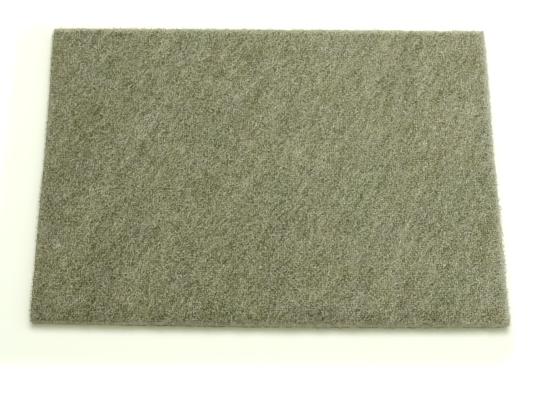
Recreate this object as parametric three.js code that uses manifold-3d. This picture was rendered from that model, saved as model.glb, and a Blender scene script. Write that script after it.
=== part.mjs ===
// Abrasive fleece hand pad: a lofty web of tangled, grit-coated strands, die-cut to a rectangle.
// Millimetres, +Z up. The origin is the middle of the flat back, which lies on the bench.
// +X runs along the pad's length and +Y across its width.

import * as THREE from "three";
import { ImprovedNoise } from "three/addons/math/ImprovedNoise.js";
import { mergeVertices } from "three/addons/utils/BufferGeometryUtils.js";
import Module from "manifold-3d";

// Driving dimensions of the die-cut pad
const PAD_LENGTH = 224;
const PAD_WIDTH = 158;
const PAD_THICKNESS = 7; // back to the crests of the highest strands
const CORNER_RADIUS = 2.5; // of the cutting die
const EDGE_ROUNDING = 0.7; // how far the cut edge draws in at the face and at the back
const EDGE_RAGGED = 0.5; // how far torn strands leave the cut edge hollow
const RAGGED_PITCH = 6; // length of one hollow along the cut edge

// The tangle that shows as ridges and hollows in the face
const RELIEF_DEPTH = 1.7; // from the crests down to the floor of the hollows
const STRAND_LENGTH = 30;
const STRAND_WIDTH = 5.5; // of one clump of strands, from hollow to hollow
const STRAND_SPACING = 10; // mean distance between neighbouring clumps
const STRAND_TURN = Math.PI * 0.6; // the most that a clump curls over its length
const STRAND_STEPS = 6;
const CREST_LOSS = 0.45; // share of the relief by which the lowest crest misses the highest
const LOFT_SWELL = 0.5; // slow rise and fall of the web's thickness
const SWELL_PITCH = 45;
const TANGLE_SEED = 7;

// Facets of the modelled surface
const FACETS_ALONG = 80;
const FACETS_ACROSS = 56;
const FACETS_UP = 3;
const BACK_TRIM = 1; // web below the back, cut away to leave the back flat

const FLEECE_COLOUR = 0x878769;

const noise = new ImprovedNoise();
const wasm = await Module();
wasm.setup();

// The next number of the seeded sequence, from -half to half.
function spread(half) {
  return (THREE.MathUtils.seededRandom() * 2 - 1) * half;
}

// One clump of strands: an arc lying in the face about its middle, as straight steps from point to point.
function layStrand(middle) {
  const step = STRAND_LENGTH / STRAND_STEPS;
  const turn = spread(STRAND_TURN) / STRAND_STEPS;
  const crest = 1 - Math.abs(spread(CREST_LOSS));
  const course = spread(Math.PI);
  const point = new THREE.Vector3(-Math.cos(course), -Math.sin(course), 0);
  point.multiplyScalar(STRAND_LENGTH / 2).add(middle);
  let heading = course - (turn * STRAND_STEPS) / 2;
  const steps = [];
  for (let i = 0; i < STRAND_STEPS; i++) {
    const next = new THREE.Vector3(Math.cos(heading), Math.sin(heading), 0).multiplyScalar(step).add(point);
    steps.push(new THREE.Line3(point.clone(), next));
    point.copy(next);
    heading += turn;
  }
  return { steps, middle, crest };
}

// All the clumps that make up the face, each near one place of an even grid.
function layTangle() {
  THREE.MathUtils.seededRandom(TANGLE_SEED);
  const along = Math.ceil(PAD_LENGTH / STRAND_SPACING);
  const across = Math.ceil(PAD_WIDTH / STRAND_SPACING);
  const tangle = [];
  for (let i = 0; i < along * across; i++) {
    const column = (i % along) - (along - 1) / 2;
    const row = Math.floor(i / along) - (across - 1) / 2;
    const x = column * STRAND_SPACING + spread(STRAND_SPACING / 2);
    const y = row * STRAND_SPACING + spread(STRAND_SPACING / 2);
    tangle.push(layStrand(new THREE.Vector3(x, y, 0)));
  }
  return tangle;
}

// Height of the tangle at a point of the face, from 0 in a hollow to 1 on the highest crest.
function tangleHeight(tangle, x, y) {
  const place = new THREE.Vector3(x, y, 0);
  const nearest = new THREE.Vector3();
  let height = 0;
  for (const { steps, middle, crest } of tangle) {
    if (crest <= height || middle.distanceTo(place) > STRAND_LENGTH) {
      continue;
    }
    for (const step of steps) {
      const gap = step.closestPointToPoint(place, true, nearest).distanceTo(place);
      const ridge = 1 - THREE.MathUtils.smoothstep(gap, 0, STRAND_WIDTH / 2);
      height = Math.max(height, crest * ridge);
    }
  }
  return height;
}

// Slow swell of the web, from 0 where it is fullest to 1 where it is thinnest.
function swellAt(x, y) {
  return 0.5 - 0.5 * noise.noise(x / SWELL_PITCH, y / SWELL_PITCH, TANGLE_SEED);
}

// Draws a corner of the blank in to the die's rounded corner.
function roundCorner(point) {
  const corner = new THREE.Vector2(PAD_LENGTH / 2 - CORNER_RADIUS, PAD_WIDTH / 2 - CORNER_RADIUS);
  const out = new THREE.Vector2(Math.abs(point.x), Math.abs(point.y)).sub(corner);
  if (out.x <= 0 || out.y <= 0 || out.length() <= CORNER_RADIUS) {
    return;
  }
  out.setLength(CORNER_RADIUS).add(corner);
  point.x = Math.sign(point.x) * out.x;
  point.y = Math.sign(point.y) * out.y;
}

// How far the cut edge lies inside the die's outline at a point of the edge.
function edgeInset(point) {
  const fromMiddle = Math.min(1, Math.abs((2 * point.z) / PAD_THICKNESS - 1));
  const hollow = 0.5 + 0.5 * noise.noise(point.x / RAGGED_PITCH, point.y / RAGGED_PITCH, point.z / RAGGED_PITCH);
  return EDGE_ROUNDING * fromMiddle ** 4 + EDGE_RAGGED * hollow;
}

// Moves one point of the square blank to its place on the fleece.
function feltPoint(point, tangle) {
  const onFace = point.z >= PAD_THICKNESS - 1e-6;
  const onEnd = Math.abs(point.x) >= PAD_LENGTH / 2 - 1e-6;
  const onSide = Math.abs(point.y) >= PAD_WIDTH / 2 - 1e-6;
  const inset = edgeInset(point);
  roundCorner(point);
  if (onEnd) {
    point.x -= Math.sign(point.x) * inset;
  }
  if (onSide) {
    point.y -= Math.sign(point.y) * inset;
  }
  if (onFace) {
    const hollow = (RELIEF_DEPTH - LOFT_SWELL) * (1 - tangleHeight(tangle, point.x, point.y));
    point.z -= hollow + LOFT_SWELL * swellAt(point.x, point.y);
  }
}

// A geometry with its shared corners joined, as a solid that can be cut.
function solidOf(geometry) {
  const bare = new THREE.BufferGeometry();
  bare.setAttribute("position", geometry.getAttribute("position"));
  bare.setIndex(geometry.getIndex());
  const merged = mergeVertices(bare);
  const vertProperties = new Float32Array(merged.getAttribute("position").array);
  const triVerts = new Uint32Array(merged.getIndex().array);
  return new wasm.Manifold(new wasm.Mesh({ numProp: 3, vertProperties, triVerts }));
}

// A solid as a geometry with flat facets.
function geometryOf(solid) {
  const { vertProperties, triVerts } = solid.getMesh();
  const geometry = new THREE.BufferGeometry();
  geometry.setAttribute("position", new THREE.BufferAttribute(vertProperties, 3));
  geometry.setIndex(new THREE.BufferAttribute(triVerts, 1));
  const faceted = geometry.toNonIndexed();
  faceted.computeVertexNormals();
  return faceted;
}

// The web: a faceted blank whose face and edges are felted, still uneven below the back.
function makeWeb() {
  const height = PAD_THICKNESS + BACK_TRIM;
  const blank = new THREE.BoxGeometry(PAD_LENGTH, PAD_WIDTH, height, FACETS_ALONG, FACETS_ACROSS, FACETS_UP);
  blank.translate(0, 0, height / 2 - BACK_TRIM);
  const tangle = layTangle();
  const position = blank.getAttribute("position");
  const point = new THREE.Vector3();
  for (let i = 0; i < position.count; i++) {
    point.fromBufferAttribute(position, i);
    feltPoint(point, tangle);
    position.setXYZ(i, point.x, point.y, point.z);
  }
  return blank;
}

// The block that trims the web flat along the back.
function makeBackTrim() {
  const block = new THREE.BoxGeometry(PAD_LENGTH * 2, PAD_WIDTH * 2, BACK_TRIM * 2);
  return block.translate(0, 0, -BACK_TRIM);
}

function makeFleecePad() {
  const pad = solidOf(makeWeb()).subtract(solidOf(makeBackTrim()));
  const material = new THREE.MeshStandardMaterial({ color: FLEECE_COLOUR, roughness: 0.95, metalness: 0 });
  const mesh = new THREE.Mesh(geometryOf(pad), material);
  mesh.name = "fleece_pad";
  return mesh;
}

const part = new THREE.Group();
part.add(makeFleecePad());

export default part;
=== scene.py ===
"""Abrasive fleece hand pad: a lofty web of tangled, grit-coated strands, laid flat on a pale bench.

The matted web and the loose strands on its face, edge and back are grown by Geometry Nodes over
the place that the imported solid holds. All sizes are in metres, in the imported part's own frame.
"""

import logging
import math
from dataclasses import dataclass, fields
from enum import Enum
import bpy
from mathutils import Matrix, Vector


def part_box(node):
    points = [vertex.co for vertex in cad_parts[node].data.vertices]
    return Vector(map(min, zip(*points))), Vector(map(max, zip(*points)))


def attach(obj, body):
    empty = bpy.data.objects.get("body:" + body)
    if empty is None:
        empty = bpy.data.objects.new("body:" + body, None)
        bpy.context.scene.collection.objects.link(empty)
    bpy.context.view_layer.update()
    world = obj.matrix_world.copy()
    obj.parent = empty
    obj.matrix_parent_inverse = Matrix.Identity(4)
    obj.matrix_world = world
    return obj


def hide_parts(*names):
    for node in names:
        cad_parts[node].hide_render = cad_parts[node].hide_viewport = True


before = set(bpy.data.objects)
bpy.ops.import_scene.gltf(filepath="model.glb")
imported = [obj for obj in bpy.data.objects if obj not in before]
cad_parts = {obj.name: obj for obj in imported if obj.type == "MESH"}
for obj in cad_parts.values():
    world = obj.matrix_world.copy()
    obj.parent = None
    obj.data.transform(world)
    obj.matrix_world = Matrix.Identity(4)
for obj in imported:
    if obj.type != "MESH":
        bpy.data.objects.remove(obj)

from types import SimpleNamespace
from typing import Any

import bpy
from bpy.types import Material, Node, NodeOutputs, NodeSocket, NodeTree, Object
from mathutils import Euler, Vector

log = logging.getLogger("fleece_pad")

Colour = tuple[float, float, float]
Triple = tuple[float, float, float]
Span = tuple[float, float]

MM = 0.001
BODY = "root"
SOLID = "fleece_pad"
BAKE_MAP = "OFBake"
PHOTO_WIDTH = 541
SEED_STEP = 31.0
WHITE = (1.0, 1.0, 1.0, 1.0)
# The way that most strands run, turned from the pad's length.
GRAIN = math.radians(62.0)


class Zone(Enum):
    """The three kinds of surface that the web shows."""

    FACE = 0
    EDGE = 1
    BACK = 2


class Socket(Enum):
    """The kinds of socket that the node trees here take and give."""

    NUMBER = "NodeSocketFloat"
    COUNT = "NodeSocketInt"
    VECTOR = "NodeSocketVector"
    COLOUR = "NodeSocketColor"
    GEOMETRY = "NodeSocketGeometry"
    OBJECT = "NodeSocketObject"
    MATERIAL = "NodeSocketMaterial"

    @classmethod
    def holding(cls, value: Any) -> "Socket":
        """Gives the kind of socket that holds a value.

        Args:
            value: a number, a vector, an object or a material.

        Returns:
            The kind of socket.
        """
        holders = (
            (int, cls.COUNT), (float, cls.NUMBER), (Vector, cls.VECTOR),
            (Object, cls.OBJECT), (Material, cls.MATERIAL),
        )
        return next(kind for held, kind in holders if isinstance(value, held))


def srgb(red: int, green: int, blue: int) -> Colour:
    """Turns a screen colour into the linear colour that nodes take.

    Args:
        red: screen red, 0 to 255.
        green: screen green, 0 to 255.
        blue: screen blue, 0 to 255.

    Returns:
        The linear red, green and blue.
    """
    def linear(value: int) -> float:
        """Gives one channel in linear light."""
        share = value / 255
        return share / 12.92 if share <= 0.04045 else ((share + 0.055) / 1.055) ** 2.4

    return linear(red), linear(green), linear(blue)


def label(name: str) -> str:
    """Turns the plain name of a value into the name of a tree's input."""
    return name.replace("_", " ").title()


def plain_sizes(part: Any) -> dict[str, float]:
    """Lists the numbers that a part's fields hold, with a span as its two ends.

    Args:
        part: the part, a dataclass.

    Returns:
        The numbers, by the names of the fields.
    """
    sizes = {}
    for field in fields(part):
        value = getattr(part, field.name)
        if isinstance(value, (int, float)):
            sizes[field.name] = value
        elif isinstance(value, tuple):
            sizes[field.name + "_from"], sizes[field.name + "_to"] = value
    return sizes


class Bench:
    """A node tree on the bench, with short calls that add nodes and join them."""

    def __init__(self, tree: NodeTree) -> None:
        """Starts from a tree, whose own group sockets are made as they are asked for.

        Args:
            tree: the tree.
        """
        self.tree = tree
        self.entry: Node | None = None
        self.leave: Node | None = None
        self.given = SimpleNamespace()

    def take(self, name: str, kind: Socket) -> NodeSocket:
        """Adds a named input to the tree.

        Args:
            name: the input's name.
            kind: what it carries.

        Returns:
            The socket inside the tree that gives the input's value.
        """
        self.tree.interface.new_socket(name, in_out="INPUT", socket_type=kind.value)
        if self.entry is None:
            self.entry = self.tree.nodes.new("NodeGroupInput")
        return self.entry.outputs[name]

    def take_all(self, values: dict[str, Any]) -> None:
        """Adds an input for each value in a list, and keeps them as given under the same names."""
        for name, value in values.items():
            setattr(self.given, name, self.take(label(name), Socket.holding(value)))

    def give(self, name: str, kind: Socket, source: Any) -> None:
        """Adds a named output to the tree.

        Args:
            name: the output's name.
            kind: what it carries.
            source: the node or socket that feeds it.
        """
        self.tree.interface.new_socket(name, in_out="OUTPUT", socket_type=kind.value)
        if self.leave is None:
            self.leave = self.tree.nodes.new("NodeGroupOutput")
        self.feed(self.leave.inputs[name], source)

    def feed(self, socket: NodeSocket, source: Any) -> None:
        """Joins a node or socket to an input, or sets the input to a plain value.

        Args:
            socket: the input.
            source: a node, whose first output is taken, a socket, or a value.
        """
        if isinstance(source, Node):
            source = next(output for output in source.outputs if output.enabled)
        if isinstance(source, NodeSocket):
            self.tree.links.new(source, socket)
        else:
            socket.default_value = source

    def add(self, kind: str, options: dict[str, Any] | None = None, **sources: Any) -> Node:
        """Adds a node.

        Args:
            kind: Blender's name for the type of node.
            options: the node's own settings.
            sources: what feeds each input, by the input's name in lower case with underscores.

        Returns:
            The new node.
        """
        node = self.tree.nodes.new(kind)
        for name, value in (options or {}).items():
            setattr(node, name, value)
        inputs = {s.name.lower().replace(" ", "_"): s for s in reversed(node.inputs) if s.enabled}
        for name, source in sources.items():
            self.feed(inputs[name], source)
        return node

    def step(self, kind: str, operation: str, *terms: Any) -> Node:
        """Adds one step of arithmetic or logic.

        Args:
            kind: Blender's name for the type of node.
            operation: Blender's name for the step.
            terms: what it works on, in order.

        Returns:
            The new node.
        """
        node = self.add(kind, {"operation": operation})
        sockets = [socket for socket in node.inputs if socket.enabled]
        for socket, term in zip(sockets, terms):
            self.feed(socket, term)
        return node

    def math(self, operation: str, *terms: Any) -> Node:
        """Adds one step of arithmetic on numbers, with its terms in order."""
        return self.step("ShaderNodeMath", operation, *terms)

    def vector(self, operation: str, *terms: Any) -> Node:
        """Adds one step of arithmetic on vectors, with its terms in order and a scale last."""
        return self.step("ShaderNodeVectorMath", operation, *terms)

    def minus(self, number: Any) -> Node:
        """Adds a number with its sign turned round."""
        return self.math("MULTIPLY", number, -1.0)

    def held(self, vector: Any, limit: Any) -> Node:
        """Adds a vector that is kept within a limit on either side of zero."""
        above = self.vector("MAXIMUM", vector, self.vector("SCALE", limit, -1.0))
        return self.vector("MINIMUM", above, limit)

    def join(self, x: Any, y: Any, z: Any) -> Node:
        """Adds a vector made of three numbers."""
        return self.add("ShaderNodeCombineXYZ", x=x, y=y, z=z)

    def split(self, vector: Any) -> NodeOutputs:
        """Gives the three numbers of a vector."""
        return self.add("ShaderNodeSeparateXYZ", vector=vector).outputs

    def turned(self, vector: Any, angle: Any) -> Node:
        """Adds a vector that is turned about the upright axis."""
        return self.add("ShaderNodeVectorRotate", {"rotation_type": "Z_AXIS"}, vector=vector, angle=angle)

    def mix(self, factor: Any, first: Any, second: Any) -> Node:
        """Adds a number that a factor leads from a first to a second."""
        return self.add("ShaderNodeMix", factor=factor, a=first, b=second)

    def noise(self, place: Any, pitch: Any, detail: float = 0.0, rough: float = 0.5) -> NodeSocket:
        """Adds cloudy noise that fades from 0 to 1.

        Args:
            place: where it is read, in metres.
            pitch: the size of one cloud, in metres.
            detail: how many finer octaves it has.
            rough: how strong each finer octave is.

        Returns:
            The socket that gives the noise.
        """
        scaled = self.vector("DIVIDE", place, self.join(pitch, pitch, pitch))
        node = self.add("ShaderNodeTexNoise", vector=scaled, scale=1.0, detail=detail, roughness=rough)
        return node.outputs["Fac"]

    def ramp(self, value: Any, low: Any, high: Any, start: Any = 0.0, end: Any = 1.0) -> NodeSocket:
        """Adds a smooth change of a number from one range to another, held at both ends.

        Args:
            value: the number.
            low: where the change starts.
            high: where the change ends.
            start: the result up to low.
            end: the result from high.

        Returns:
            The socket that gives the result.
        """
        node = self.add(
            "ShaderNodeMapRange", {"interpolation_type": "SMOOTHSTEP"},
            value=value, from_min=low, from_max=high, to_min=start, to_max=end,
        )
        return node.outputs["Result"]

    def blend(self, how: str, factor: Any, first: Any, second: Any) -> NodeSocket:
        """Adds a blend of two colours.

        Args:
            how: Blender's name for the way of blending.
            factor: how much of the second colour comes in.
            first: the first colour.
            second: the second colour.

        Returns:
            The socket that gives the blended colour.
        """
        options = {"data_type": "RGBA", "blend_type": how}
        node = self.add("ShaderNodeMix", options, factor=factor, a=first, b=second)
        return node.outputs[2]

    def colours(self, value: Any, places: tuple[float, ...], shades: tuple[Colour, ...]) -> NodeSocket:
        """Adds a change of colour along a number.

        Args:
            value: the number, from 0 to 1.
            places: where along the number each colour is reached.
            shades: the colours.

        Returns:
            The socket that gives the colour.
        """
        node = self.add("ShaderNodeValToRGB", fac=value)
        stops = node.color_ramp.elements
        while len(stops) < len(places):
            stops.new(1.0)
        for stop, place, shade in zip(stops, places, shades):
            stop.position = place
            stop.color = (*shade, 1.0)
        return node.outputs["Color"]

    def seen(self) -> Node:
        """Tells a look at a surface from light that the surface only throws on others.

        Returns:
            The node that gives 1 for a look, straight or by way of metal or glass, and otherwise 0.
        """
        path = self.add("ShaderNodeLightPath").outputs
        looked = self.math("MAXIMUM", path["Is Camera Ray"], path["Is Glossy Ray"])
        return self.math("MAXIMUM", looked, path["Is Transmission Ray"])

    def painted(self, name: str, output: str = "Fac") -> NodeSocket:
        """Reads, in a material, a value that the mesh holds by name."""
        return self.add("ShaderNodeAttribute", {"attribute_name": name}).outputs[output]

    def named(self, name: str, kind: str = "FLOAT") -> NodeSocket:
        """Reads, in a Geometry Nodes tree, a value that the mesh holds by name."""
        node = self.add("GeometryNodeInputNamedAttribute", {"data_type": kind}, name=name)
        return node.outputs["Attribute"]

    def store(self, mesh: Any, name: str, value: Any, kind: str = "FLOAT", domain: str = "POINT") -> Node:
        """Lets a mesh hold a value by name."""
        options = {"data_type": kind, "domain": domain}
        return self.add("GeometryNodeStoreNamedAttribute", options, geometry=mesh, name=name, value=value)

    def place(self) -> Node:
        """Adds the place of each element."""
        return self.add("GeometryNodeInputPosition")

    def move(self, geometry: Any, **where: Any) -> Node:
        """Moves the points of a geometry to a position or by an offset."""
        return self.add("GeometryNodeSetPosition", geometry=geometry, **where)

    def capture(self, geometry: Any, facts: dict[str, tuple[str, Any]]) -> NodeOutputs:
        """Notes facts on each point of a geometry, for later steps to read.

        Args:
            geometry: the geometry.
            facts: the kind and the source of each fact, by name.

        Returns:
            The sockets that give the geometry and the facts.
        """
        node = self.add("GeometryNodeCaptureAttribute", {"domain": "POINT"}, geometry=geometry)
        for name, (kind, source) in facts.items():
            node.capture_items.new(kind, name)
            self.feed(node.inputs[name], source)
        return node.outputs

    def random(self, low: Any, high: Any, seed: Any, key: int) -> NodeSocket:
        """Adds a random number for each element.

        Args:
            low: the lowest number.
            high: the highest number.
            seed: the layer's own seed.
            key: tells this use of the seed from others.

        Returns:
            The socket that gives the number.
        """
        mixed = self.math("MULTIPLY_ADD", seed, SEED_STEP, float(key))
        node = self.add("FunctionNodeRandomValue", {"data_type": "FLOAT"}, min=low, max=high, seed=mixed)
        return node.outputs[1]

    def finish(self, mesh: Any) -> NodeTree:
        """Ends a Geometry Nodes tree with a smooth, realized mesh in the given material.

        Args:
            mesh: the mesh.

        Returns:
            The finished tree.
        """
        mesh = self.add("GeometryNodeSetShadeSmooth", geometry=mesh, shade_smooth=True)
        mesh = self.add("GeometryNodeRealizeInstances", geometry=mesh)
        mesh = self.add("GeometryNodeSetMaterial", geometry=mesh, material=self.given.material)
        self.give("Geometry", Socket.GEOMETRY, mesh)
        return self.tree


def shader_group(name: str) -> Bench:
    """Starts a shader node group of that name."""
    return Bench(bpy.data.node_groups.new(name, "ShaderNodeTree"))


def geometry_tree(name: str, values: dict[str, Any]) -> Bench:
    """Starts a Geometry Nodes tree of that name, with an input for each value.

    Args:
        name: the tree's name.
        values: the values that its inputs will have, by plain name.

    Returns:
        The tree's bench.
    """
    bench = Bench(bpy.data.node_groups.new(name, "GeometryNodeTree"))
    bench.take_all(values)
    return bench


def grow(name: str, tree: NodeTree, values: dict[str, Any]) -> Object:
    """Runs a Geometry Nodes tree once and keeps its result as a plain mesh at the origin.

    Args:
        name: the new object's name.
        tree: the tree to run.
        values: the value of each of the tree's inputs, by plain name.

    Returns:
        The object, with no modifier left on it.
    """
    start = bpy.data.objects.new(name + "_start", bpy.data.meshes.new(name + "_start"))
    bpy.context.scene.collection.objects.link(start)
    modifier = start.modifiers.new("Growth", "NODES")
    modifier.node_group = tree
    wanted = {label(plain): value for plain, value in values.items()}
    for item in tree.interface.items_tree:
        if item.in_out == "INPUT":
            modifier[item.identifier] = wanted[item.name]
    graph = bpy.context.evaluated_depsgraph_get()
    mesh = bpy.data.meshes.new_from_object(start.evaluated_get(graph), depsgraph=graph)
    mesh.name = name
    start.modifiers.remove(modifier)
    bpy.data.objects.remove(start)
    piece = bpy.data.objects.new(name, mesh)
    bpy.context.scene.collection.objects.link(piece)
    return piece


def seat(piece: Object) -> None:
    """Lets a piece ride on the pad's body, and reports it.

    Args:
        piece: the piece, a plain mesh.
    """
    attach(piece, BODY)
    piece.data.calc_loop_triangles()
    log.info("%s: %d triangles", piece.name, len(piece.data.loop_triangles))


@dataclass(frozen=True)
class OliveTones:
    """The fleece's colours, from the painted shade of its pores to its palest strand, in a round of faint
    tints.
    """

    # The darkest stop is painted shade: the dark in the pores and in the crease at the foot.
    pore: Colour = srgb(66, 66, 34)
    shade: Colour = srgb(134, 134, 94)
    strand: Colour = srgb(179, 180, 142)
    # The palest stop is greyer than the rest: a painted sheen where the painted rim highlight lifts the
    # tone.
    pale: Colour = srgb(228, 228, 208)
    tones_at: tuple[float, ...] = (0.0, 0.3, 0.62, 1.0)
    green: Colour = (0.974, 1.0, 0.96)
    yellow: Colour = (1.0, 1.0, 0.934)
    pink: Colour = (1.024, 1.0, 1.0)
    grey: Colour = (0.998, 1.0, 1.024)
    brown: Colour = (1.05, 1.0, 0.94)
    tints_at: tuple[float, ...] = (0.0, 0.22, 0.35, 0.48, 0.7, 1.0)

    def group(self) -> NodeTree:
        """Builds the shader group that turns a tone and a hue, each from 0 to 1, into a colour.

        Returns:
            The node group.
        """
        bench = shader_group("Olive tones")
        tone = bench.take("Tone", Socket.NUMBER)
        hue = bench.take("Hue", Socket.NUMBER)
        tones = (self.pore, self.shade, self.strand, self.pale)
        tints = (self.green, self.yellow, self.pink, self.grey, self.green, self.brown)
        colour = bench.colours(tone, self.tones_at, tones)
        tint = bench.colours(hue, self.tints_at, tints)
        bench.give("Colour", Socket.COLOUR, bench.blend("MULTIPLY", 1.0, colour, tint))
        return bench.tree


@dataclass(frozen=True)
class FeltDashes:
    """Short bent strands, felted flat, as a pattern that a material reads."""

    heading: float = GRAIN
    spread: float = math.radians(82.0)
    bend: float = 1.6
    apart: float = 0.25
    core: float = 0.05
    brim: float = 0.1
    way_stir: float = 5.0
    tone_stir: float = 7.0

    def group(self) -> NodeTree:
        """Builds the shader group that draws two bent strands in each cell of a random pavement.

        Returns:
            The node group, which gives where the strands are and a random number for each.
        """
        bench = shader_group("Felt dashes")
        place = bench.take("Place", Socket.VECTOR)
        pitch = bench.take("Pitch", Socket.NUMBER)
        shift = bench.take("Shift", Socket.NUMBER)
        scaled = bench.vector("DIVIDE", place, bench.join(pitch, pitch, pitch))
        spot = bench.vector("ADD", scaled, bench.join(shift, shift, 0.0))
        cells = bench.add("ShaderNodeTexVoronoi", {"voronoi_dimensions": "2D"}, vector=spot, scale=1.0)
        chance = bench.add("ShaderNodeSeparateColor", color=cells.outputs["Color"]).outputs
        local = bench.vector("SUBTRACT", spot, cells.outputs["Position"])
        other = bench.math("MULTIPLY_ADD", chance["Red"], self.way_stir, chance["Blue"])
        tone = bench.math("MULTIPLY_ADD", chance["Green"], self.tone_stir, chance["Red"])
        upper = self.strand(bench, local, chance["Red"], chance["Blue"], 0.0)
        lower = self.strand(bench, local, bench.math("FRACT", other), chance["Green"], self.apart)
        bench.give("Mask", Socket.NUMBER, bench.math("MAXIMUM", upper, lower))
        bench.give("Chance", Socket.NUMBER, bench.mix(upper, bench.math("FRACT", tone), chance["Green"]))
        return bench.tree

    def strand(self, bench: Bench, local: Any, way: Any, curve: Any, apart: float) -> NodeSocket:
        """Draws one bent strand.

        Args:
            bench: the group's bench.
            local: the place, measured from the cell's middle.
            way: a random number that turns the strand.
            curve: a random number that bends it.
            apart: how far it passes the cell's middle.

        Returns:
            Where the strand is, from 0 to 1.
        """
        angle = bench.math("MULTIPLY_ADD", way, 2 * self.spread, -self.heading - self.spread)
        turned = bench.split(bench.turned(local, angle))
        bow = bench.math("MULTIPLY_ADD", curve, self.bend, -self.bend / 2)
        bow = bench.math("MULTIPLY_ADD", bow, bench.math("MULTIPLY", turned["X"], turned["X"]), apart)
        off = bench.math("ABSOLUTE", bench.math("ADD", turned["Y"], bow))
        return bench.ramp(off, self.core, self.brim, 1.0, 0.0)


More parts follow.
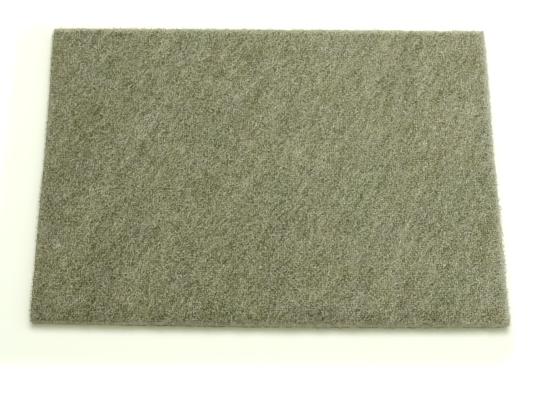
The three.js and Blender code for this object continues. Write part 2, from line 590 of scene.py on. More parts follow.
@dataclass(frozen=True)
class FleeceFinish:
    """What the materials of the web and of the loose strands share."""

    tones: NodeTree
    dashes: NodeTree
    roughness: float = 0.8
    specular: float = 0.13
    # Painted shade: the dark ground between the felted strands stands in for the shade deep in the web.
    gap_tone: float = 0.1
    dash_tones: Span = (0.33, 0.97)
    dash_pitches: tuple[float, ...] = (1.1 * MM, 1.25 * MM, 1.15 * MM)
    dash_shift: float = 17.0
    pore_pitch: float = 1.05 * MM
    # Painted shade in the pores, where the web's depth lies in shade.
    pore_depth: float = 0.97
    pore_jumble: float = 0.65
    pore_width: Span = (0.33, 0.47)
    pore_floor: float = 0.5
    pore_warp: float = 0.16
    warp_fineness: float = 2.0
    fleck: float = 0.36
    fleck_pitch: float = 2.6 * MM
    fleck_stretch: float = 2.6
    fleck_band: Span = (0.5, 0.7)
    calm: float = 0.55
    calm_band: Span = (0.3, 0.5)
    wall_pores: float = 0.3
    rim_pores: float = 0.4
    rim_tone: Span = (-0.25, 0.6)
    streak: float = 0.22
    streak_pitch: float = 2.3 * MM
    streak_stretch: float = 6.0
    heading: float = GRAIN
    bump: float = 0.3 * MM
    bump_strength: float = 0.7

    def start(self, name: str) -> tuple[Material, Bench, Node]:
        """Starts a rough, dull material.

        Args:
            name: the material's name.

        Returns:
            The material, its node bench and its surface shader.
        """
        material = bpy.data.materials.new(name)
        material.use_nodes = True
        shader = material.node_tree.nodes["Principled BSDF"]
        shader.inputs["Roughness"].default_value = self.roughness
        shader.inputs["Specular IOR Level"].default_value = self.specular
        return material, Bench(material.node_tree), shader

    def olive(self, bench: Bench, tone: Any, hue: Any) -> NodeSocket:
        """Turns a tone, dark to pale, and a hue, round the faint tints, into the fleece's colour."""
        return bench.add("ShaderNodeGroup", {"node_tree": self.tones}, tone=tone, hue=hue).outputs["Colour"]

    def strand_material(self) -> Material:
        """Makes the loose strands' material, which reads each strand's tone and hue from its map.

        Returns:
            The material.
        """
        material, bench, shader = self.start("Loose strand")
        spot = bench.split(bench.add("ShaderNodeUVMap", {"uv_map": BAKE_MAP}).outputs["UV"])
        bench.feed(shader.inputs["Base Color"], self.olive(bench, spot["X"], spot["Y"]))
        return material

    def web_material(self) -> Material:
        """Makes the matted web's material: fine strands in every direction over pores of painted shade.

        Returns:
            The material.
        """
        material, bench, shader = self.start("Matted web")
        lie = bench.painted("lie", "Vector")
        # The paleness holds painted light and shade besides the fleece's own random tone.
        pale = bench.painted("paleness")
        combed = bench.turned(lie, -self.heading)
        tone, height = self.felted(bench, lie)
        solid = bench.math("SUBTRACT", 1.0, self.pored(bench, lie, combed, pale))
        drawn = bench.vector("DIVIDE", combed, (self.streak_stretch, 1.0, 1.0))
        streak = bench.math("SUBTRACT", bench.noise(drawn, self.streak_pitch, detail=1.0), 0.5)
        pale = bench.math("MULTIPLY_ADD", streak, self.streak, pale)
        tone = bench.math("MULTIPLY", bench.math("ADD", tone, pale), solid)
        bench.feed(shader.inputs["Base Color"], self.olive(bench, tone, bench.painted("hue")))
        relief = bench.math("MULTIPLY", height, solid)
        bump = bench.add("ShaderNodeBump", height=relief, strength=self.bump_strength, distance=self.bump)
        bench.feed(shader.inputs["Normal"], bump)
        return material

    def felted(self, bench: Bench, lie: Any) -> tuple[Any, Any]:
        """Lays the felted strands over each other.

        Args:
            bench: the material's bench.
            lie: the place on the web's sides, laid flat.

        Returns:
            The strands' tone and their height.
        """
        darkest, palest = self.dash_tones
        group = {"node_tree": self.dashes}
        # The strands are laid over a dark ground of painted shade.
        tone: Any = self.gap_tone
        height: Any = 0.0
        for level, pitch in enumerate(self.dash_pitches, start=1):
            shift = self.dash_shift * level
            dashes = bench.add("ShaderNodeGroup", group, place=lie, pitch=pitch, shift=shift).outputs
            own = bench.math("MULTIPLY_ADD", dashes["Chance"], palest - darkest, darkest)
            tone = bench.mix(dashes["Mask"], tone, own)
            crest = bench.math("MULTIPLY", dashes["Mask"], level / len(self.dash_pitches))
            height = bench.math("MAXIMUM", height, crest)
        return tone, height

    def pored(self, bench: Bench, lie: Any, combed: Any, pale: Any) -> NodeSocket:
        """Opens pores between the strands: wide in some patches, faint in others and on wall and rim.

        Args:
            bench: the material's bench.
            lie: the place on the web's sides, laid flat.
            combed: the same place, turned to the strands' way.
            pale: how pale the web is there, painted light and shade included.

        Returns:
            How dark the painted shade in the pores is, from 0 to 1.
        """
        grid = bench.vector("SCALE", lie, 1 / self.pore_pitch)
        drift = bench.add("ShaderNodeTexNoise", vector=grid, scale=self.warp_fineness, detail=0.0)
        drift = bench.vector("SUBTRACT", drift.outputs["Color"], (0.5, 0.5, 0.5))
        drift = bench.vector("SCALE", drift, 2 * self.pore_warp)
        pores = bench.add(
            "ShaderNodeTexVoronoi", {"voronoi_dimensions": "2D"},
            vector=bench.vector("ADD", grid, drift), scale=1.0, randomness=self.pore_jumble,
        ).outputs
        chance = bench.add("ShaderNodeSeparateColor", color=pores["Color"]).outputs["Red"]
        least, most = self.pore_width
        width = bench.math("MULTIPLY_ADD", chance, most - least, least)
        # The pores' painted shade is fainter on the walls and under the painted rim highlight.
        wall = bench.math("SUBTRACT", bench.painted("zone"), float(Zone.EDGE.value))
        depth = bench.ramp(bench.math("ABSOLUTE", wall), 0.0, 1.0, self.wall_pores, self.pore_depth)
        depth = bench.math("MULTIPLY", depth, bench.ramp(pale, *self.rim_tone, 1.0, self.rim_pores))
        drawn = bench.vector("DIVIDE", combed, (self.fleck_stretch, 1.0, 1.0))
        patch = bench.noise(drawn, self.fleck_pitch, detail=1.0)
        width = bench.math("MULTIPLY", width, bench.ramp(patch, *self.fleck_band, 1.0, 1.0 + self.fleck))
        depth = bench.math("MULTIPLY", depth, bench.ramp(patch, *self.calm_band, 1.0 - self.calm, 1.0))
        floor = bench.math("MULTIPLY", width, self.pore_floor)
        return bench.ramp(pores["Distance"], floor, width, depth, 0.0)


@dataclass(frozen=True)
class CutLine:
    """How far the hand-cut outline strays from a true rectangle."""

    front_bow: float = 0.75 * MM
    front_slant: float = 0.45 * MM
    front_trim: float = 0.3 * MM
    back_dip: float = 0.35 * MM
    dip_end: float = -0.4
    left_dent: float = 0.5 * MM
    right_dent: float = 0.35 * MM
    dent_place: float = 14.0 * MM
    dent_width: float = 45.0 * MM
    end_skew: float = 0.2 * MM
    left_trim: float = 0.18 * MM

    def bend(self, bench: Bench, mesh: Any, half: Any) -> Node:
        """Bends the four edges a little, fading to nothing at the middle.

        Args:
            bench: the tree's bench, which is given the cut line's sizes.
            mesh: the mesh in its true rectangle.
            half: half the pad's length, width and thickness.

        Returns:
            The node that gives the bent mesh.
        """
        given = bench.given
        place = bench.place()
        share = bench.split(bench.vector("DIVIDE", place, half))
        front = bench.math("MAXIMUM", bench.minus(share["Y"]), 0.0)
        back = bench.math("MAXIMUM", share["Y"], 0.0)
        left = bench.math("MAXIMUM", bench.minus(share["X"]), 0.0)
        right = bench.math("MAXIMUM", share["X"], 0.0)
        bow = bench.math("SUBTRACT", 1.0, bench.math("MULTIPLY", share["X"], share["X"]))
        slant = bench.math("MULTIPLY_ADD", share["X"], given.front_slant, bench.minus(given.front_trim))
        forward = bench.math("MULTIPLY", front, bench.math("MULTIPLY_ADD", bow, given.front_bow, slant))
        dip = bench.math("MULTIPLY", back, bench.ramp(share["X"], -1.0, given.dip_end, given.back_dip, 0.0))
        depth = bench.math("MULTIPLY", left, given.left_dent)
        depth = bench.math("SUBTRACT", depth, bench.math("MULTIPLY", right, given.right_dent))
        apart = bench.math("ABSOLUTE", bench.math("SUBTRACT", bench.split(place)["Y"], given.dent_place))
        dent = bench.math("MULTIPLY", bench.ramp(apart, 0.0, given.dent_width, 1.0, 0.0), depth)
        dent = bench.math("MULTIPLY_ADD", left, given.left_trim, dent)
        skew = bench.math("MULTIPLY", share["Y"], given.end_skew)
        away = bench.minus(bench.math("ADD", forward, dip))
        return bench.move(mesh, offset=bench.join(bench.math("SUBTRACT", dent, skew), away, 0.0))


@dataclass(frozen=True)
class FlatLayout:
    """How the slab's six sides lie on its flat map, in shares of the map."""

    margin: float = 0.01
    flat_height: float = 0.45
    wall_height: float = 0.012
    flat_row: float = 0.25
    wall_row: float = 0.966
    row_steps: Triple = (0.007, 0.021, -0.235)
    # How far a side's pattern is shifted, in metres, by the axis that the side faces.
    pattern_steps: Triple = (0.3, 0.5, 0.7)

    def mark(self, bench: Bench, mesh: Any) -> Node:
        """Marks each side of the plain slab with its zone, and lays it out flat.

        Args:
            bench: the tree's bench, which is given the slab's size.
            mesh: the slab.

        Returns:
            The node that gives the marked slab.
        """
        normal = bench.add(
            "GeometryNodeFieldOnDomain", {"data_type": "FLOAT_VECTOR", "domain": "FACE"},
            value=bench.add("GeometryNodeInputNormal").outputs["Normal"],
        )
        way = bench.split(normal)
        flat = bench.math("GREATER_THAN", bench.math("ABSOLUTE", way["Z"]), 0.5)
        end = bench.math("GREATER_THAN", bench.math("ABSOLUTE", way["X"]), 0.5)
        zone = bench.math("SUBTRACT", float(Zone.EDGE.value), way["Z"])
        place = bench.place()
        here = bench.split(place)
        apart = bench.vector("DOT_PRODUCT", normal, self.pattern_steps).outputs["Value"]
        level = bench.math("ADD", bench.mix(flat, here["Z"], here["Y"]), apart)
        lie = bench.join(bench.mix(end, here["X"], here["Y"]), level, 0.0)
        part = bench.vector("DIVIDE", place, bench.given.size)
        part = bench.split(bench.vector("ADD", part, (0.5, 0.5, 0.5)))
        across = bench.mix(end, part["X"], part["Y"])
        across = bench.math("MULTIPLY_ADD", across, 1.0 - 2 * self.margin, self.margin)
        wall_up = bench.math("MULTIPLY", part["Z"], self.wall_height)
        up = bench.mix(flat, wall_up, bench.math("MULTIPLY", part["Y"], self.flat_height))
        strip = bench.vector("DOT_PRODUCT", normal, self.row_steps).outputs["Value"]
        row = bench.math("ADD", bench.mix(flat, self.wall_row, self.flat_row), strip)
        spot = bench.join(across, bench.math("ADD", row, up), 0.0)
        mesh = bench.store(mesh, "zone", zone, "INT", "FACE")
        mesh = bench.store(mesh, "lie", lie, "FLOAT_VECTOR", "CORNER")
        return bench.store(mesh, BAKE_MAP, spot, "FLOAT2", "CORNER")


@dataclass(frozen=True)
class WebShade:
    """How the web's paleness and tint change over it, painted light and shade included."""

    heading: float = math.radians(67.0)
    cloud: float = 0.27
    cloud_pitch: float = 3.8 * MM
    cloud_stretch: float = 6.0
    blotch: float = 0.16
    blotch_pitch: float = 11.0 * MM
    # Painted light: paler towards the right and towards the back, where the lamps stand.
    drift: float = 0.075
    fall: float = 0.02
    # Painted highlight along the right and back rims of the face, and a weaker one along the left.
    rim_pale: float = 0.62
    left_pale: float = 0.2
    rim_width: float = 2.6 * MM
    # Painted light on the walls, from the foot to the brow: full on the front wall, a share of it on the
    # others and less to the left.
    foot_pale: float = 0.62
    brow_pale: float = 0.16
    # Painted shadow in the crease where the walls meet the bench.
    foot_dark: float = 0.75
    side_share: float = 0.35
    left_share: float = 0.5
    wall_width: float = 0.6 * MM
    # Painted shade over a band of the face along the front edge.
    front_dim: float = 0.08
    front_width: float = 11.0 * MM
    hue_pitch: float = 32.0 * MM
    hue_band: Span = (0.3, 0.7)
    face_hue: float = 0.7
    # These bands run from -1 at the slab's foot, front or left to 1 on the opposite side.
    rim_band: Span = (0.4, 0.95)
    wall_band: Span = (-0.5, 1.0)
    foot_band: Span = (-1.0, -0.45)
    front_band: Span = (-1.0, -0.97)
    left_band: Span = (-1.0, 0.2)

    def shaded(self, bench: Bench, mesh: Any) -> Node:
        """Stores the fleece's paleness, painted light and shade included, and its tint at each place of the
        plain slab.

        Args:
            bench: the tree's bench, which is given the slab's size and the sizes of its shades.
            mesh: the slab.

        Returns:
            The node that gives the slab with its paleness and hue.
        """
        given = bench.given
        place = bench.place()
        half = bench.vector("SCALE", given.size, 0.5)
        share = bench.split(bench.vector("DIVIDE", place, half))
        gap = bench.split(bench.vector("SUBTRACT", half, bench.vector("ABSOLUTE", place)))
        far = bench.split(bench.vector("SUBTRACT", half, place))
        near = bench.split(bench.vector("ADD", half, place))
        # Painted highlight along the rims of the face.
        rim = bench.math("MINIMUM", far["X"], far["Y"])
        rim = bench.ramp(rim, 0.0, given.rim_width, given.rim_pale, 0.0)
        rim = bench.math("MAXIMUM", rim, bench.ramp(near["X"], 0.0, given.rim_width, given.left_pale, 0.0))
        rim = bench.math("MULTIPLY", rim, bench.ramp(share["Z"], given.rim_band_from, given.rim_band_to))
        # Painted light on the walls, fullest on the front wall and towards the right.
        wall = bench.math("MINIMUM", gap["X"], gap["Y"])
        wall = bench.ramp(wall, 0.0, given.wall_width, 1.0, 0.0)
        frontal = bench.ramp(share["Y"], given.front_band_from, given.front_band_to, 1.0, given.side_share)
        left = bench.ramp(share["X"], given.left_band_from, given.left_band_to, given.left_share, 1.0)
        # Painted shadow in the crease at the walls' foot.
        foot = (share["Z"], given.foot_band_from, given.foot_band_to)
        crease = bench.minus(bench.ramp(*foot, given.foot_dark, 0.0))
        shade = bench.ramp(
            share["Z"], given.wall_band_from, given.wall_band_to, given.foot_pale, given.brow_pale,
        )
        shade = bench.math("MULTIPLY", bench.math("MULTIPLY", shade, frontal), left)
        shade = bench.math("MULTIPLY_ADD", bench.ramp(*foot), shade, crease)
        rim = bench.math("MAXIMUM", rim, bench.math("MULTIPLY", wall, shade))
        # Painted shade along the front of the face, off the walls.
        dim = bench.ramp(near["Y"], 0.0, given.front_width, given.front_dim, 0.0)
        dim = bench.math("MULTIPLY", dim, bench.math("SUBTRACT", 1.0, wall))
        combed = bench.turned(place, bench.minus(given.heading))
        combed = bench.vector("DIVIDE", combed, bench.join(given.cloud_stretch, 1.0, 1.0))
        patch = bench.noise(combed, given.cloud_pitch, detail=2.0, rough=0.6)
        patch = bench.math("SUBTRACT", patch, 0.5)
        broad = bench.math("SUBTRACT", bench.noise(combed, given.blotch_pitch, detail=1.0), 0.5)
        pale = bench.math("SUBTRACT", rim, dim)
        # The first two terms are painted light, paler to the right and to the back; the blotches and clouds
        # are the fleece's own random tone.
        shades = (
            (share["X"], given.drift), (share["Y"], given.fall),
            (broad, given.blotch), (patch, given.cloud),
        )
        for where, strength in shades:
            pale = bench.math("MULTIPLY_ADD", where, strength, pale)
        tint = bench.noise(place, given.hue_pitch, detail=2.0)
        hue = bench.ramp(tint, given.hue_band_from, given.hue_band_to, 0.0, given.face_hue)
        hue = bench.math("MAXIMUM", hue, bench.math("MULTIPLY", wall, frontal))
        return bench.store(bench.store(mesh, "paleness", pale), "hue", hue)


@dataclass(frozen=True)
class WebRelief:
    """How far the web's surface strays from a plain slab."""

    rounding: float = 0.55 * MM
    hollow_depth: float = 0.42 * MM
    hollow_pitch: float = 4.0 * MM
    hollow_band: Span = (0.02, 0.45)
    wall_press: float = 0.5
    ragged_depth: float = 0.35 * MM
    ragged_pitch: float = 14.0 * MM
    swell: float = 0.06
    swell_pitch: float = 45.0 * MM

    def matted(self, bench: Bench, mesh: Any, inner: Any) -> Node:
        """Rounds the slab, lays it on the bench, and presses hollows and ragged edges into it.

        Args:
            bench: the tree's bench, which is given the slab's size and the sizes of its relief.
            mesh: the plain slab, which holds its outward direction by name.
            inner: the nearest place inside the slab's rounding.

        Returns:
            The node that gives the matted slab.
        """
        given = bench.given
        place = bench.place()
        outward = bench.named("outward", "FLOAT_VECTOR")
        rounded = bench.vector("ADD", inner, bench.vector("SCALE", outward, given.rounding))
        raised = bench.vector("ADD", rounded, bench.vector("MULTIPLY", given.size, (0.0, 0.0, 0.5)))
        mesh = bench.move(mesh, position=raised)
        coarse = bench.noise(place, given.hollow_pitch, detail=1.0)
        ridge = bench.math("ABSOLUTE", bench.math("MULTIPLY_ADD", coarse, 2.0, -1.0))
        hollow = bench.ramp(ridge, given.hollow_band_from, given.hollow_band_to)
        hollow = bench.math("MULTIPLY", hollow, given.hollow_depth)
        pressed = bench.vector("MULTIPLY", outward, bench.join(given.wall_press, given.wall_press, 1.0))
        torn = bench.noise(place, given.ragged_pitch, detail=2.0, rough=0.6)
        torn = bench.math("MULTIPLY", torn, given.ragged_depth)
        side = bench.vector("MULTIPLY", outward, (1.0, 1.0, 0.0))
        inward = bench.vector("SCALE", pressed, hollow)
        inward = bench.vector("ADD", inward, bench.vector("SCALE", side, torn))
        mesh = bench.move(mesh, offset=bench.vector("SCALE", inward, -1.0))
        wave = bench.math("SUBTRACT", bench.noise(place, given.swell_pitch), 0.5)
        lift = bench.math("MULTIPLY_ADD", wave, given.swell, 1.0)
        return bench.move(mesh, position=bench.vector("MULTIPLY", place, bench.join(1.0, 1.0, lift)))


@dataclass(frozen=True)
class FleeceWeb:
    """The matted body of the pad: a die-cut slab whose surface is all hollows and crests."""

    material: Material
    cut: CutLine
    layout: FlatLayout = FlatLayout()
    shade: WebShade = WebShade()
    relief: WebRelief = WebRelief()
    name: str = "fleece_web"
    facet: float = 1.6 * MM
    face_drop: float = 0.25 * MM
    outset: float = 0.36 * MM
    fill: float = 0.8

    def build(self) -> Object:
        """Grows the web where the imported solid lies, and lets it stand for that solid.

        Returns:
            The web's object.
        """
        low, high = (Vector(corner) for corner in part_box(SOLID))
        size = high - low + Vector((2 * self.outset, 2 * self.outset, -self.face_drop))
        values = {
            "size": size,
            "points_along": round(size.x / self.facet) + 1,
            "points_across": round(size.y / self.facet) + 1,
            "points_up": round(size.z / self.facet) + 1,
            "material": self.material,
            **plain_sizes(self.shade),
            **plain_sizes(self.relief),
            **plain_sizes(self.cut),
        }
        web = grow(self.name, self.tree(values), values)
        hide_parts(SOLID)
        seat(web)
        return web

    def tree(self, values: dict[str, Any]) -> NodeTree:
        """Builds the tree that mats a plain slab into the web.

        Args:
            values: the values that its inputs will have, by plain name.

        Returns:
            The Geometry Nodes tree.
        """
        bench = geometry_tree("Matted web", values)
        given = bench.given
        slab = bench.add(
            "GeometryNodeMeshCube", size=given.size,
            vertices_x=given.points_along, vertices_y=given.points_across, vertices_z=given.points_up,
        )
        mesh = self.layout.mark(bench, slab.outputs["Mesh"])
        place = bench.place()
        half = bench.vector("SCALE", given.size, 0.5)
        core = bench.vector("SUBTRACT", half, bench.join(given.rounding, given.rounding, given.rounding))
        inner = bench.held(place, core)
        outward = bench.vector("NORMALIZE", bench.vector("SUBTRACT", place, inner))
        mesh = bench.store(mesh, "outward", outward, "FLOAT_VECTOR")
        mesh = self.shade.shaded(bench, mesh)
        mesh = self.relief.matted(bench, mesh, inner)
        return bench.finish(self.cut.bend(bench, mesh, half))


@dataclass(frozen=True)
class StrandLayer:
    """One layer of loose strands that lie, arch and curl over one zone of the web."""

    name: str
    cut: CutLine
    zone: Zone
    per_area: float
    seed: int
    length: Span = (3.0 * MM, 6.5 * MM)
    radius: Span = (0.065 * MM, 0.095 * MM)
    lumps: float = 0.3
    sides: int = 3
    steps: int = 5
    lift: Span = (0.1 * MM, 0.5 * MM)
    sink: float = 0.2 * MM
    curl: Span = (math.radians(30.0), math.radians(150.0))
    sway: float = 0.08
    heading: float = GRAIN
    heading_spread: float = math.radians(66.0)
    tilt: Span = (0.0, 0.0)
    root_floor: float = -1.0 * MM
    clump: float = 0.0
    clump_pitch: float = 4.0 * MM
    clump_band: Span = (0.4, 0.6)
    tone: Span = (0.42, 0.76)
    tone_wander: float = 0.4
    # Painted shadow that darkens the strands near the bench, in the crease at the wall's foot.
    foot_dark: float = 0.0
    foot_height: float = 2.2 * MM
    fuzz: float = 0.55 * MM
    over_fall: float = 0.8
    headroom: float = 0.2 * MM
    bench_gap: float = 0.02 * MM
    # The part of the strands' map in use, both ways, and the heights in it of the hues and of one ring.
    palette: Span = (0.02, 0.98)
    hue_height: float = 0.95
    ring_height: float = 0.01

    def build(self, web: Object, material: Material) -> Object:
        """Grows the layer on the web.

        Args:
            web: the web that carries the strands.
            material: the strands' material.

        Returns:
            The layer's object.
        """
        low, high = (Vector(corner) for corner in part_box(SOLID))
        values = {
            "web": web,
            "zone": self.zone.value,
            "outline": (high - low) / 2,
            "top": high.z,
            "material": material,
            **plain_sizes(self),
            **plain_sizes(self.cut),
        }
        layer = grow(self.name, self.tree(values), values)
        seat(layer)
        return layer

    def tree(self, values: dict[str, Any]) -> NodeTree:
        """Builds the tree that scatters roots on the web and draws a strand from each.

        Args:
            values: the values that its inputs will have, by plain name.

        Returns:
            The Geometry Nodes tree.
        """
        bench = geometry_tree("Loose strands", values)
        fact = self.rooted(bench)
        copies = bench.add(
            "GeometryNodeDuplicateElements", {"domain": "POINT"},
            geometry=fact["Geometry"], amount=bench.math("ADD", bench.given.steps, 1.0),
        ).outputs
        step = copies["Duplicate Index"]
        path = self.trimmed(bench, fact, self.path(bench, fact, step))
        points = bench.move(copies["Geometry"], position=path)
        curves = bench.add(
            "GeometryNodePointsToCurves", points=points, curve_group_id=fact["Strand"], weight=step,
        )
        mesh = self.drawn(bench, fact, curves)
        return bench.finish(self.cut.bend(bench, mesh, bench.given.outline))

    def rooted(self, bench: Bench) -> NodeOutputs:
        """Scatters the strands' roots over the zone, and settles each strand's facts at random.

        Args:
            bench: the tree's bench.

        Returns:
            The sockets that give the roots and the facts of their strands.
        """
        given = bench.given
        seed = given.seed
        surface = bench.add("GeometryNodeObjectInfo", object=given.web).outputs["Geometry"]
        equal = {"data_type": "INT", "operation": "EQUAL"}
        here = bench.add("FunctionNodeCompare", equal, a=bench.named("zone", "INT"), b=given.zone)
        place = bench.place()
        above = bench.math("GREATER_THAN", bench.split(place)["Z"], given.root_floor)
        chosen = bench.step("FunctionNodeBooleanMath", "AND", here, above)
        tuft = bench.noise(place, given.clump_pitch)
        tuft = bench.ramp(tuft, given.clump_band_from, given.clump_band_to, -1.0, 1.0)
        density = bench.math("MULTIPLY_ADD", tuft, given.clump, 1.0)
        density = bench.math("MULTIPLY", given.per_area, density)
        roots = bench.add(
            "GeometryNodeDistributePointsOnFaces",
            mesh=surface, selection=chosen, density=density, seed=seed,
        )
        hand = bench.math("SIGN", bench.random(-1.0, 1.0, seed, 9))
        curl = bench.math("MULTIPLY", hand, bench.random(given.curl_from, given.curl_to, seed, 4))
        tone = bench.random(given.tone_from, given.tone_to, seed, 2)
        return bench.capture(roots.outputs["Points"], {
            "Root": ("VECTOR", place),
            "Turn": ("ROTATION", self.turn(bench)),
            "Length": ("FLOAT", bench.random(given.length_from, given.length_to, seed, 3)),
            "Curl": ("FLOAT", curl),
            "Hue": ("FLOAT", bench.named("hue")),
            "Sway": ("FLOAT", bench.random(bench.minus(given.sway), given.sway, seed, 5)),
            "Lift": ("FLOAT", bench.random(given.lift_from, given.lift_to, seed, 6)),
            "Radius": ("FLOAT", bench.random(given.radius_from, given.radius_to, seed, 7)),
            # The web's paleness brings its painted light and shade onto the strands.
            "Tone": ("FLOAT", bench.math("ADD", bench.named("paleness"), tone)),
            "Fuzz": ("FLOAT", bench.random(0.0, given.fuzz, seed, 8)),
            "Strand": ("INT", bench.add("GeometryNodeInputIndex")),
        })

    def turn(self, bench: Bench) -> Node:
        """Turns each strand along the web at its root, then about and up by random angles.

        Args:
            bench: the tree's bench.

        Returns:
            The node that gives the turn.
        """
        given = bench.given
        outward = bench.named("outward", "FLOAT_VECTOR")
        level = bench.vector("CROSS_PRODUCT", (0.0, 0.0, 1.0), outward)
        align = "FunctionNodeAlignRotationToVector"
        turn = bench.add(align, {"axis": "Z"}, vector=outward)
        turn = bench.add(align, {"axis": "X", "pivot_axis": "Z"}, rotation=turn, vector=level)
        spread = bench.random(bench.minus(given.heading_spread), given.heading_spread, given.seed, 1)
        course = bench.math("ADD", given.heading, spread)
        tilt = bench.minus(bench.random(given.tilt_from, given.tilt_to, given.seed, 12))
        local = {"rotation_space": "LOCAL"}
        for axis, angle in (((0.0, 0.0, 1.0), course), ((0.0, 1.0, 0.0), tilt)):
            spin = bench.add("FunctionNodeAxisAngleToRotation", axis=axis, angle=angle)
            turn = bench.add("FunctionNodeRotateRotation", local, rotation=turn, rotate_by=spin)
        return turn

    def path(self, bench: Bench, fact: NodeOutputs, step: Any) -> Node:
        """Works out a strand's free path: an arch that curls to one side and sways.

        Args:
            bench: the tree's bench.
            fact: the facts of each strand.
            step: the number of the step along it.

        Returns:
            The node that gives the place of that step.
        """
        centred = bench.math("DIVIDE", step, bench.given.steps)
        centred = bench.math("MULTIPLY_ADD", centred, 2.0, -1.0)
        angle = bench.math("MULTIPLY", bench.math("MULTIPLY", centred, 0.5), fact["Curl"])
        bend = bench.math("DIVIDE", fact["Length"], fact["Curl"])
        forward = bench.math("MULTIPLY", bench.math("SINE", angle), bend)
        bow = bench.math("MULTIPLY", bench.math("SUBTRACT", 1.0, bench.math("COSINE", angle)), bend)
        sway = bench.math("SINE", bench.math("MULTIPLY", centred, math.pi))
        sway = bench.math("MULTIPLY", sway, fact["Sway"])
        sideways = bench.math("MULTIPLY_ADD", sway, fact["Length"], bow)
        arch = bench.math("SUBTRACT", 1.0, bench.math("MULTIPLY", centred, centred))
        arch = bench.math("MULTIPLY", arch, fact["Lift"])
        local = bench.join(forward, sideways, bench.math("SUBTRACT", arch, bench.given.sink))
        turned = bench.add("FunctionNodeRotateVector", vector=local, rotation=fact["Turn"])
        return bench.vector("ADD", fact["Root"], turned)

    def trimmed(self, bench: Bench, fact: NodeOutputs, path: Any) -> Node:
        """Bends a strand's path down where it runs over the cut edge, and keeps it off the bench.

        Args:
            bench: the tree's bench.
            fact: the facts of each strand.
            path: the strand's free path.

        Returns:
            The node that gives the bent path.
        """
        given = bench.given
        reach = bench.vector("ADD", given.outline, bench.join(fact["Fuzz"], fact["Fuzz"], 0.0))
        limit = bench.vector("MULTIPLY_ADD", reach, (1.0, 1.0, 0.0), (0.0, 0.0, 1.0))
        held = bench.held(path, limit)
        over = bench.vector("LENGTH", bench.vector("SUBTRACT", path, held)).outputs["Value"]
        place = bench.split(held)
        capped = bench.math("MINIMUM", place["Z"], bench.math("ADD", given.top, given.headroom))
        fallen = bench.math("MULTIPLY_ADD", over, bench.minus(given.over_fall), capped)
        height = bench.math("MAXIMUM", fallen, bench.math("ADD", fact["Radius"], given.bench_gap))
        return bench.join(place["X"], place["Y"], height)

    def drawn(self, bench: Bench, fact: NodeOutputs, curves: Node) -> Node:
        """Draws each strand as a lumpy thread whose map holds its tone across and its hue upwards.

        Args:
            bench: the tree's bench.
            fact: the facts of each strand.
            curves: the strands' paths.

        Returns:
            The node that gives the strands' mesh.
        """
        given = bench.given
        ring = bench.add("GeometryNodeCurvePrimitiveCircle", resolution=given.sides, radius=1.0)
        around = bench.add("GeometryNodeSplineParameter").outputs["Factor"]
        ring = bench.capture(ring.outputs["Curve"], {"Around": ("FLOAT", around)})
        wander = bench.random(bench.minus(given.tone_wander), given.tone_wander, given.seed, 10)
        # Painted shadow: strands darken near the bench, in the crease at the wall's foot.
        height = bench.split(bench.place())["Z"]
        crease = bench.ramp(height, 0.0, given.foot_height, given.foot_dark, 0.0)
        tone = bench.math("SUBTRACT", bench.math("ADD", fact["Tone"], wander), crease)
        course = bench.capture(curves.outputs["Curves"], {"Tone": ("FLOAT", tone)})
        thin = bench.math("SUBTRACT", 1.0, given.lumps)
        lump = bench.random(thin, bench.math("ADD", 1.0, given.lumps), given.seed, 11)
        mesh = bench.add(
            "GeometryNodeCurveToMesh", curve=course["Geometry"], profile_curve=ring["Geometry"],
            scale=bench.math("MULTIPLY", fact["Radius"], lump), fill_caps=True,
        )
        across = bench.ramp(course["Tone"], 0.0, 1.0, given.palette_from, given.palette_to)
        up = bench.math("MULTIPLY_ADD", fact["Hue"], given.hue_height, given.palette_from)
        up = bench.math("MULTIPLY_ADD", ring["Around"], given.ring_height, up)
        return bench.store(mesh, BAKE_MAP, bench.join(across, up, 0.0), "FLOAT2", "CORNER")


@dataclass(frozen=True)
class PaleFloor:
    """The plain, nearly white bench top that the pad lies on."""

    colour: Colour = (0.907, 0.933, 0.878)
    roughness: float = 0.9
    width: float = 6.0
    glow: Colour = (0.09, 0.1, 0.0)
    shade_middle: Triple = (-8.5 * MM, -6.0 * MM, 0.0)
    shade_half: Triple = (112.0 * MM, 79.0 * MM, 1.0)
    fade: Span = (8.0 * MM, 34.0 * MM)

    def build(self) -> None:
        """Lays the floor, which fades to plain white away from the pad."""
        material = bpy.data.materials.new("Pale floor")
        material.use_nodes = True
        bench = Bench(material.node_tree)
        shader = material.node_tree.nodes["Principled BSDF"]
        shader.inputs["Base Color"].default_value = (*self.colour, 1.0)
        shader.inputs["Roughness"].default_value = self.roughness
        shader.inputs["Specular IOR Level"].default_value = 0.0
        place = bench.add("ShaderNodeTexCoord").outputs["Object"]
        shifted = bench.vector("ABSOLUTE", bench.vector("SUBTRACT", place, self.shade_middle))
        beyond = bench.vector("SUBTRACT", shifted, self.shade_half)
        away = bench.vector("LENGTH", bench.vector("MAXIMUM", beyond, (0.0, 0.0, 0.0))).outputs["Value"]
        glow = bench.blend("MIX", bench.ramp(away, *self.fade), (*self.glow, 1.0), WHITE)
        bench.feed(shader.inputs["Emission Color"], glow)
        bench.feed(shader.inputs["Emission Strength"], bench.seen())
        half = self.width / 2
        corners = [(-half, -half, 0.0), (half, -half, 0.0), (half, half, 0.0), (-half, half, 0.0)]
        mesh = bpy.data.meshes.new("pale_floor")
        mesh.from_pydata(corners, [], [(0, 1, 2, 3)])
        mesh.materials.append(material)
        floor = bpy.data.objects.new("pale_floor", mesh)
        bpy.context.scene.collection.objects.link(floor)


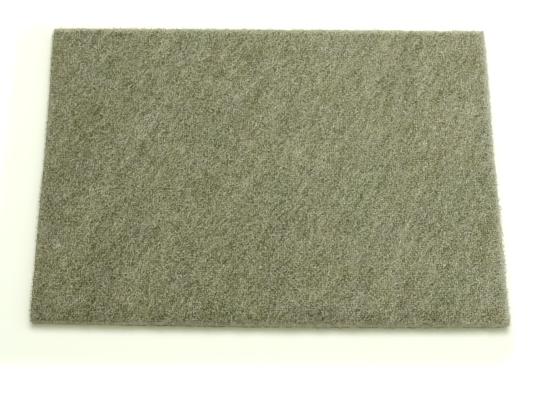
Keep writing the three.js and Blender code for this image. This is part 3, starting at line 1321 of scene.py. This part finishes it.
@dataclass(frozen=True)
class SoftLight:
    """One large, soft studio lamp that looks at the pad."""

    name: str
    place: Triple
    width: float
    power: float

    def build(self) -> None:
        """Hangs the lamp."""
        data = bpy.data.lights.new(self.name, "AREA")
        data.shape = "DISK"
        data.size = self.width
        data.energy = self.power
        lamp = bpy.data.objects.new(self.name, data)
        lamp.location = self.place
        lamp.rotation_euler = (-Vector(self.place)).to_track_quat("-Z", "Y").to_euler()
        bpy.context.scene.collection.objects.link(lamp)


@dataclass(frozen=True)
class Studio:
    """The floor, light and camera around the pad, with the camera's turn in degrees."""

    floor: PaleFloor = PaleFloor()
    key: SoftLight = SoftLight("key_lamp", (0.02, 0.255, 0.8), 0.5, 4.65)
    side: SoftLight = SoftLight("side_lamp", (0.52, 0.12, 0.72), 0.8, 1.3)
    sky: float = 0.36
    camera_place: Triple = (-6.83 * MM, -221.42 * MM, 501.23 * MM)
    camera_turn: Triple = (22.298, -0.84, 0.005)
    focal_pixels: float = 1096.6
    sensor: float = 36.0
    nearest: float = 10.0 * MM

    def build(self) -> None:
        """Sets up the floor, the lamps, the white room, the plain view and the camera."""
        self.floor.build()
        self.key.build()
        self.side.build()
        world = bpy.data.worlds.new("Soft room")
        world.use_nodes = True
        bench = Bench(world.node_tree)
        background = world.node_tree.nodes["Background"]
        background.inputs["Color"].default_value = WHITE
        bench.feed(background.inputs["Strength"], bench.mix(bench.seen(), self.sky, 1.0))
        bpy.context.scene.world = world
        bpy.context.scene.view_settings.view_transform = "Standard"
        data = bpy.data.cameras.new("photo_camera")
        data.sensor_fit = "HORIZONTAL"
        data.sensor_width = self.sensor
        data.lens = self.focal_pixels * self.sensor / PHOTO_WIDTH
        data.clip_start = self.nearest
        camera = bpy.data.objects.new("photo_camera", data)
        camera.location = self.camera_place
        camera.rotation_euler = Euler([math.radians(angle) for angle in self.camera_turn])
        bpy.context.scene.collection.objects.link(camera)
        bpy.context.scene.camera = camera
        log.info("studio: floor, lamps and camera")


def main() -> None:
    """Builds the studio, the web and its loose strands, and logs their triangles."""
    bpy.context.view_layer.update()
    Studio().build()
    finish = FleeceFinish(OliveTones().group(), FeltDashes().group())
    cut = CutLine()
    web = FleeceWeb(finish.web_material(), cut).build()
    strand = finish.strand_material()
    layers = [
        StrandLayer(
            "face_strands_1", cut, Zone.FACE, per_area=150000.0, seed=11, lift=(0.1 * MM, 0.3 * MM),
        ),
        StrandLayer(
            "face_strands_2", cut, Zone.FACE, per_area=150000.0, seed=12, lift=(0.2 * MM, 0.45 * MM),
        ),
        StrandLayer(
            "face_strands_3", cut, Zone.FACE, per_area=150000.0, seed=15, lift=(0.35 * MM, 0.6 * MM),
        ),
        StrandLayer(
            "long_strands", cut, Zone.FACE, per_area=60000.0, seed=16, steps=6,
            length=(7.0 * MM, 12.0 * MM), lift=(0.4 * MM, 0.8 * MM), heading_spread=math.radians(24.0),
            curl=(math.radians(15.0), math.radians(80.0)),
        ),
        StrandLayer(
            "edge_strands", cut, Zone.EDGE, per_area=900000.0, seed=13, steps=4, foot_dark=0.85,
            length=(2.5 * MM, 5.0 * MM), lift=(0.1 * MM, 0.4 * MM),
            heading=0.0, heading_spread=math.radians(35.0),
        ),
        StrandLayer(
            "edge_fringe", cut, Zone.EDGE, per_area=1900000.0, seed=17, steps=4, clump=0.65,
            length=(2.0 * MM, 4.5 * MM), radius=(0.06 * MM, 0.1 * MM), lift=(0.0, 0.1 * MM), sink=0.0,
            curl=(math.radians(10.0), math.radians(70.0)), heading=0.0, heading_spread=math.pi,
            tilt=(math.radians(30.0), math.radians(80.0)), root_floor=4.5 * MM, fuzz=2.0 * MM,
        ),
        StrandLayer(
            "back_strands", cut, Zone.BACK, per_area=80000.0, seed=14, steps=4, lift=(0.0, 0.4 * MM),
        ),
    ]
    for layer in layers:
        layer.build(web, strand)


if __name__ == "__main__":
    logging.basicConfig(level=logging.INFO, format="%(name)s %(message)s")
    main()
